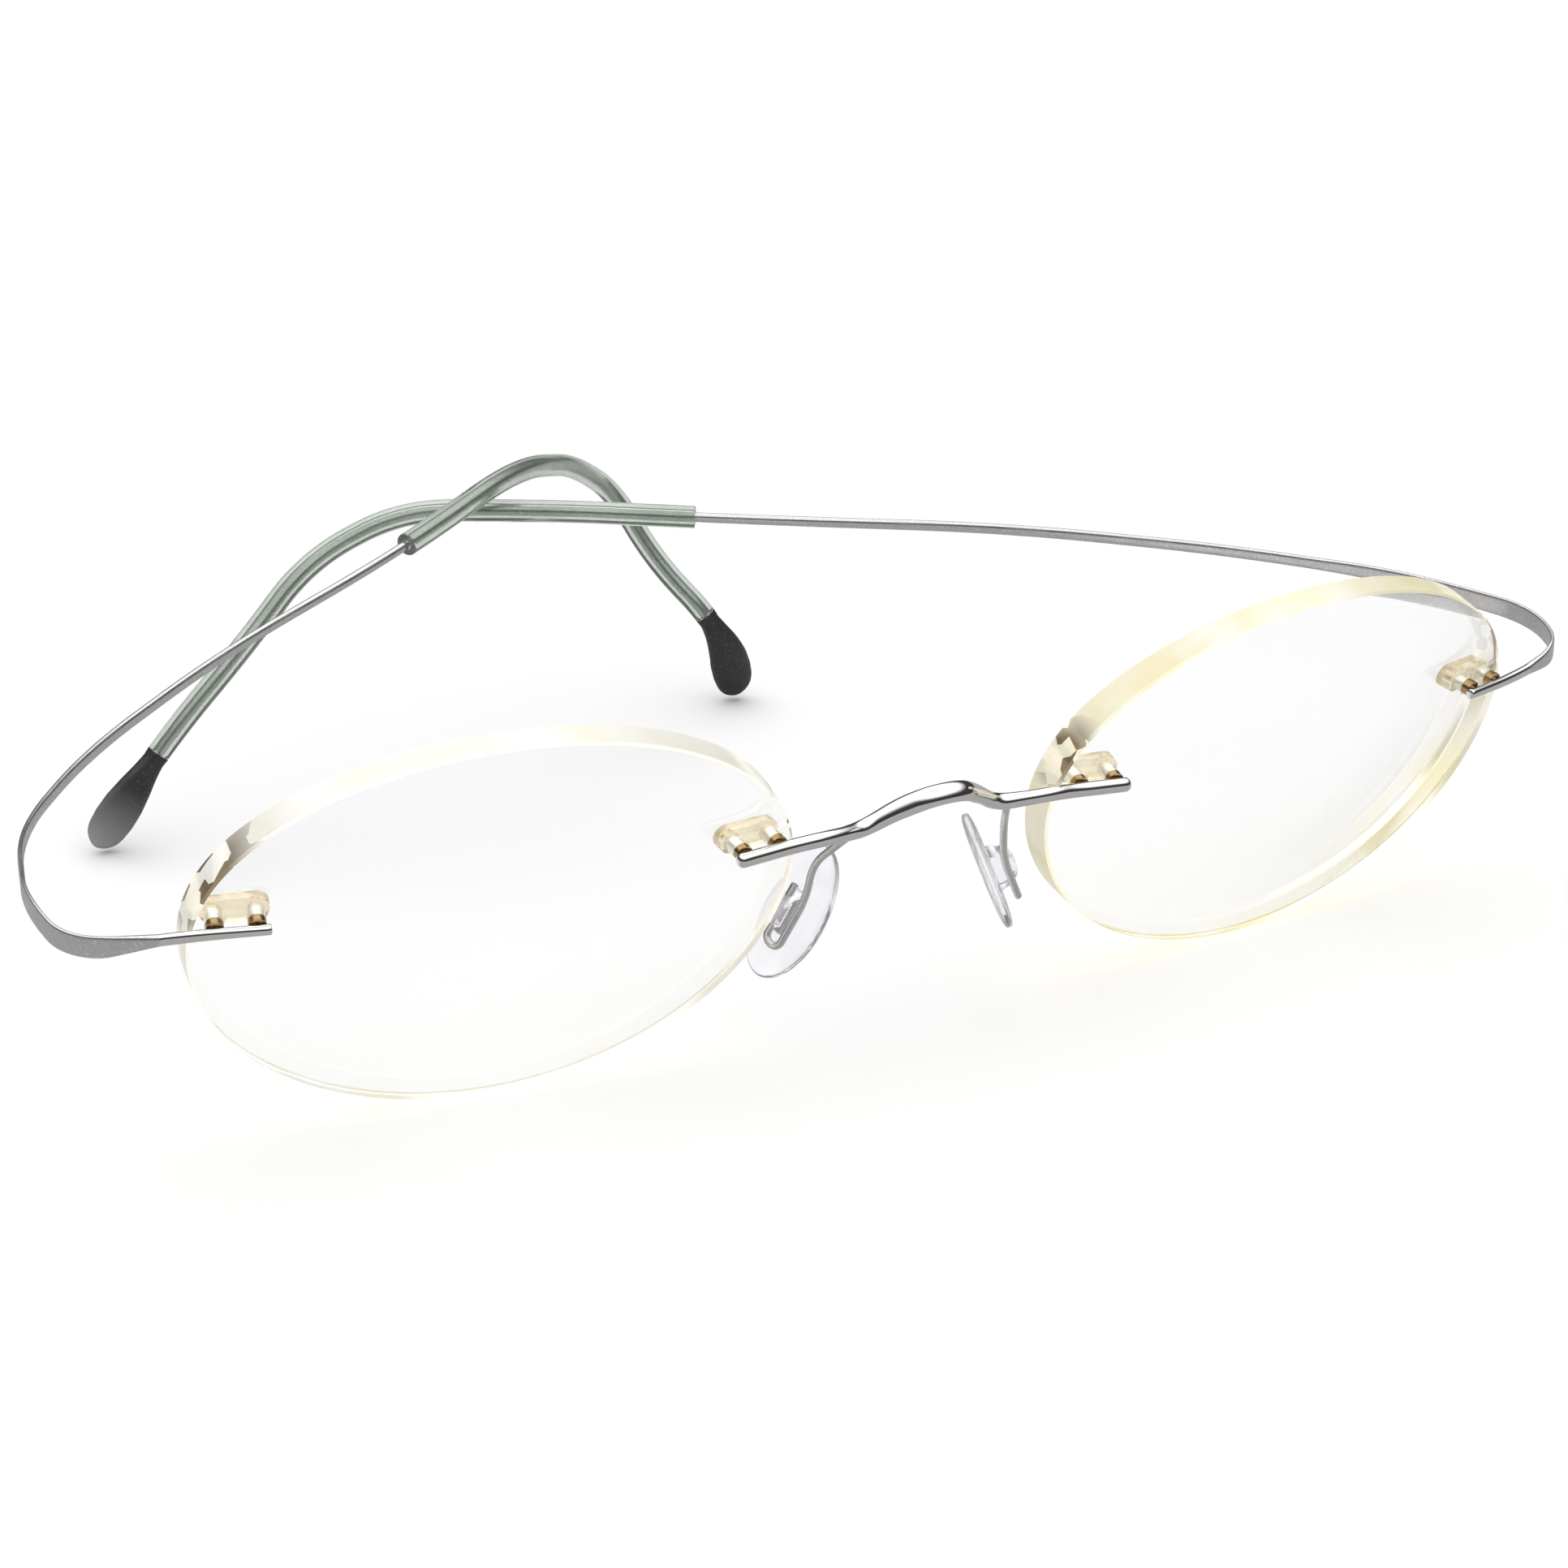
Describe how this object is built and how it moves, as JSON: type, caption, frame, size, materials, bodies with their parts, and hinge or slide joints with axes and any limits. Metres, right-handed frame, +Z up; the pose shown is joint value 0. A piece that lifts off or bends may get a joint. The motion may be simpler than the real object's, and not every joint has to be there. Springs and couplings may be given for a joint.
{
  "type": "eyeglasses",
  "caption": "Rimless oval eyeglasses with a wire bridge, rocking silicone nose pads and springy wire temples with soft ear sleeves.",
  "frame": {"origin": "on the table under the middle of the resting glasses", "axes": "+X to the wearer's left, +Y back from the lenses along the temples, +Z up; both lenses stand on the table on their lower edges"},
  "size_m": [0.1311, 0.0825, 0.0315],
  "materials": {
    "lens_resin": "polished clear, pale yellow through its edge",
    "polished_titanium": "polished",
    "satin_titanium": "satin",
    "pin_metal": "polished",
    "collar_metal": "dark gold",
    "amber_resin": "translucent, polished",
    "clear_silicone": "clear, slightly violet",
    "sleeve_silicone": "translucent grey-green",
    "tip_silicone": "charcoal, fine speckle"
  },
  "bodies": {
    "front": {"lens_left": "lens_resin", "lens_right": "lens_resin", "bridge": "polished_titanium", "pad_arm_left": "satin_titanium", "pad_arm_right": "satin_titanium", "nasal_plug_left": "amber_resin", "nasal_plug_right": "amber_resin", "temporal_plug_left": "amber_resin", "temporal_plug_right": "amber_resin", "bridge_pins_left": "pin_metal", "bridge_pins_right": "pin_metal", "temple_pins_left": "pin_metal", "temple_pins_right": "pin_metal", "bridge_collars_left": "collar_metal", "bridge_collars_right": "collar_metal", "temple_collars_left": "collar_metal", "temple_collars_right": "collar_metal", "temple_rod_left": "polished_titanium", "temple_rod_right": "polished_titanium", "corner_spring_left": "satin_titanium", "corner_spring_right": "satin_titanium"},
    "left_temple": {"temple_wire_left": "satin_titanium", "ear_sleeve_left": "sleeve_silicone", "temple_tip_left": "tip_silicone"},
    "left_pad": {"nose_pad_left": "clear_silicone"},
    "right_temple": {"temple_wire_right": "satin_titanium", "ear_sleeve_right": "sleeve_silicone", "temple_tip_right": "tip_silicone"},
    "right_pad": {"nose_pad_right": "clear_silicone"}
  },
  "joints": [
    {"name": "right_temple_flex", "type": "hinge", "parent": "front", "child": "right_temple", "pos_m": [-0.0655, -0.02744, 0.02], "axis": [0, 0, 1], "range_deg": [-2, 60], "stiffness_Nm_per_rad": 0.04, "deforming": ["corner_spring_right"]},
    {"name": "left_temple_flex", "type": "hinge", "parent": "front", "child": "left_temple", "pos_m": [0.065, -0.02744, 0.02], "axis": [0, 0, -1], "range_deg": [-1.6, 48], "stiffness_Nm_per_rad": 0.04, "deforming": ["corner_spring_left"]},
    {"name": "left_pad_rock", "type": "hinge", "parent": "front", "child": "left_pad", "pos_m": [0.00985, -0.03267, 0.01104], "axis": [-0.4407, -0.1703, 0.8814], "range_deg": [-8, 8]},
    {"name": "right_pad_rock", "type": "hinge", "parent": "front", "child": "right_pad", "pos_m": [-0.00985, -0.03267, 0.01104], "axis": [0.4407, -0.1703, 0.8814], "range_deg": [-8, 8]}
  ],
  "couplings": [
    {"joint": "left_temple_flex", "follows": "right_temple_flex", "ratio": 0.8}
  ]
}
